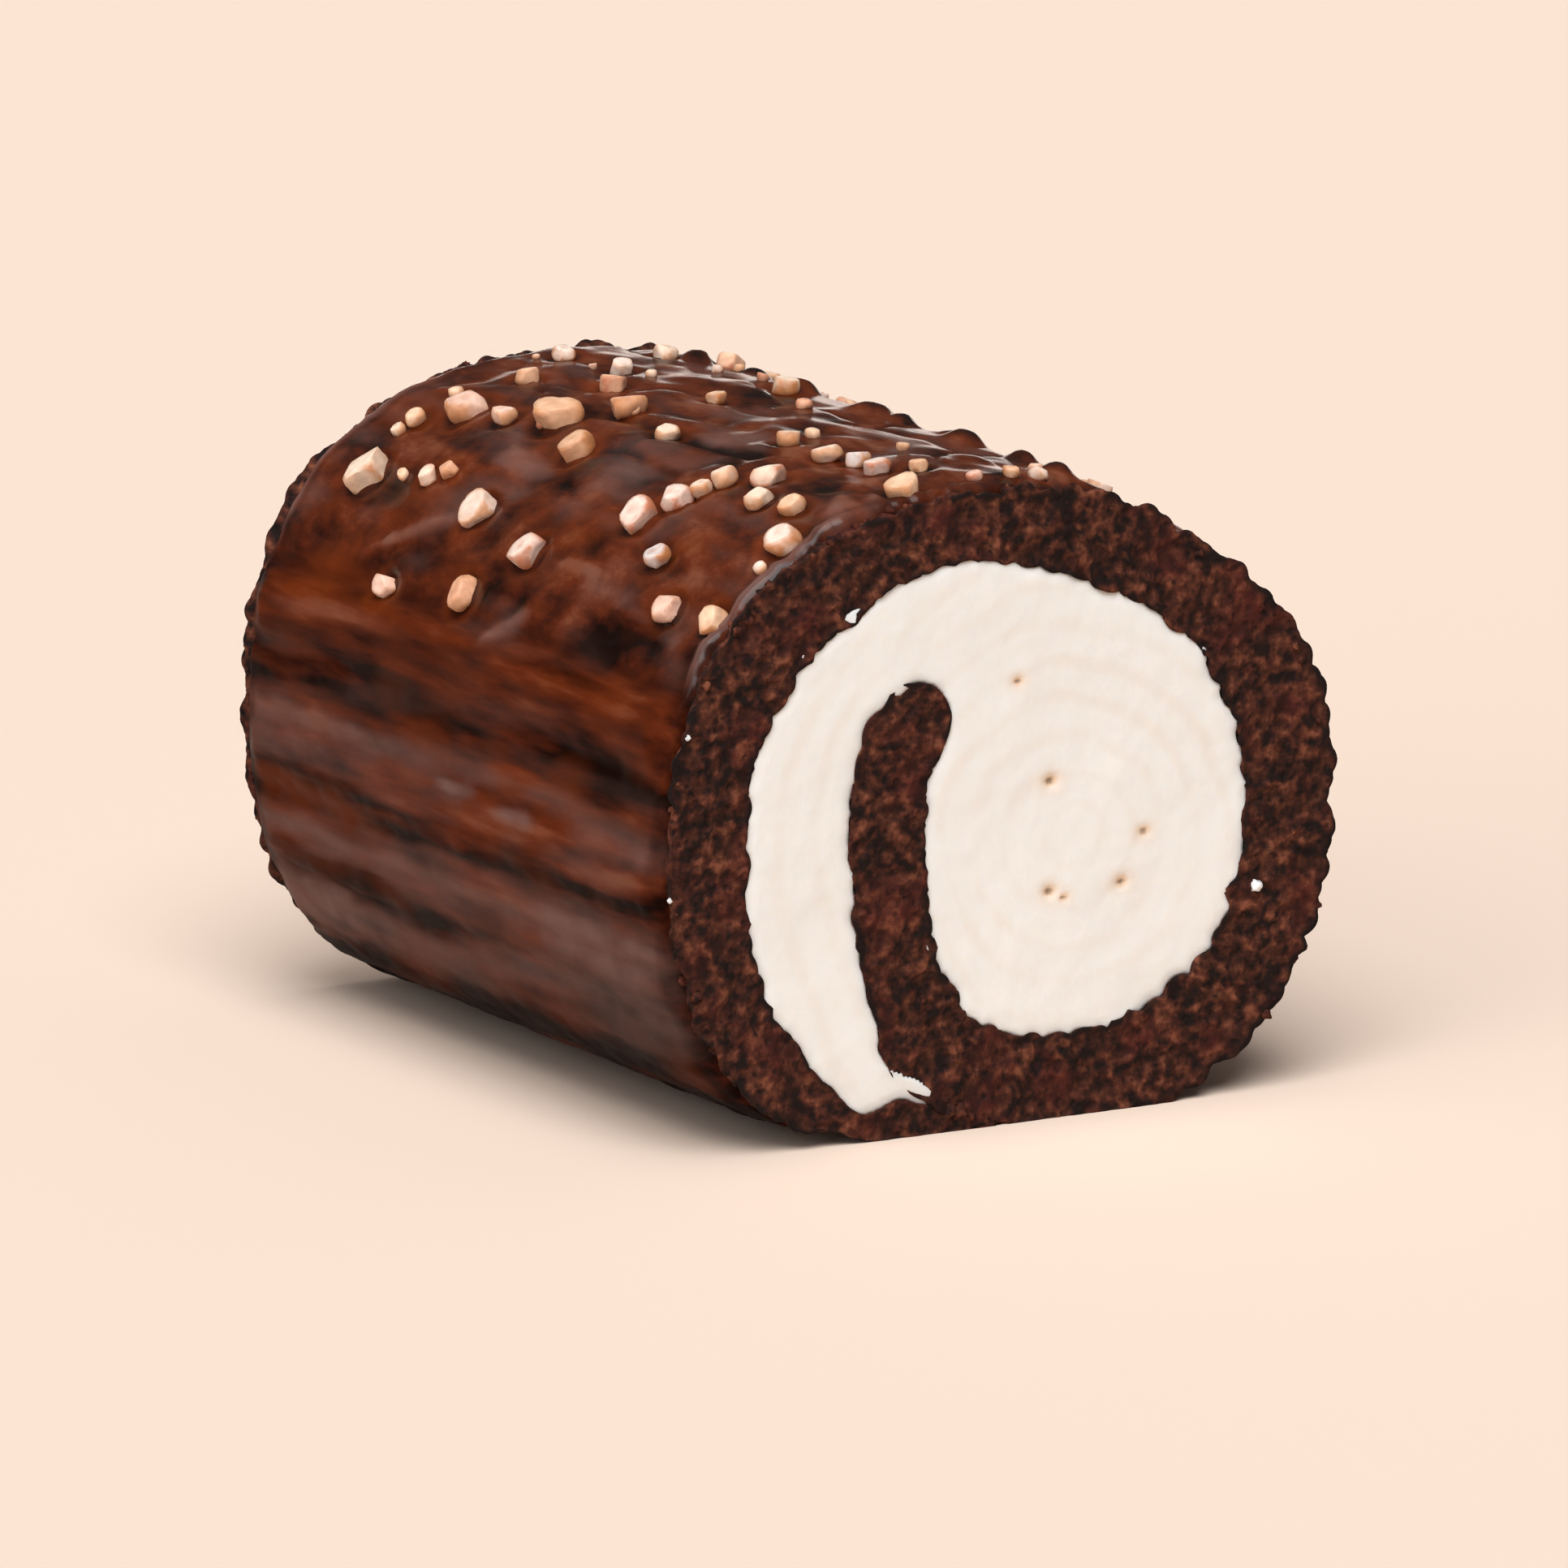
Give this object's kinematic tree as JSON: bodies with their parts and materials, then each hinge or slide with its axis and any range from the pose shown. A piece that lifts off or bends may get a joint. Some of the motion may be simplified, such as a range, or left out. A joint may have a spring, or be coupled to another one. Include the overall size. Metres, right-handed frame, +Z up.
{
  "type": "chocolate swiss roll cake",
  "caption": "Short chocolate Swiss roll: a sponge sheet rolled round whipped cream, glossy ridged icing outside, chopped nuts on top, both ends cut.",
  "frame": {"origin": "on the table, under the middle of the roll", "axes": "+Y along the roll from the front cut to the back one, +Z up, +X to the right as seen from the front"},
  "size_m": [0.0856, 0.0966, 0.0725],
  "materials": {
    "chocolate_sponge": "dark moist chocolate sponge, torn open crumb, matte",
    "whipped_cream": "warm white whipped cream, soft, faint round smears from the knife",
    "chocolate_icing": "dark red-brown chocolate icing, thin, glossy, drawn into folds along the roll",
    "chopped_nuts": "peach and tan chopped nuts with a thin glaze"
  },
  "bodies": {
    "root": {"sponge": "chocolate_sponge", "cream": "whipped_cream", "icing": "chocolate_icing"}
  },
  "joints": []
}
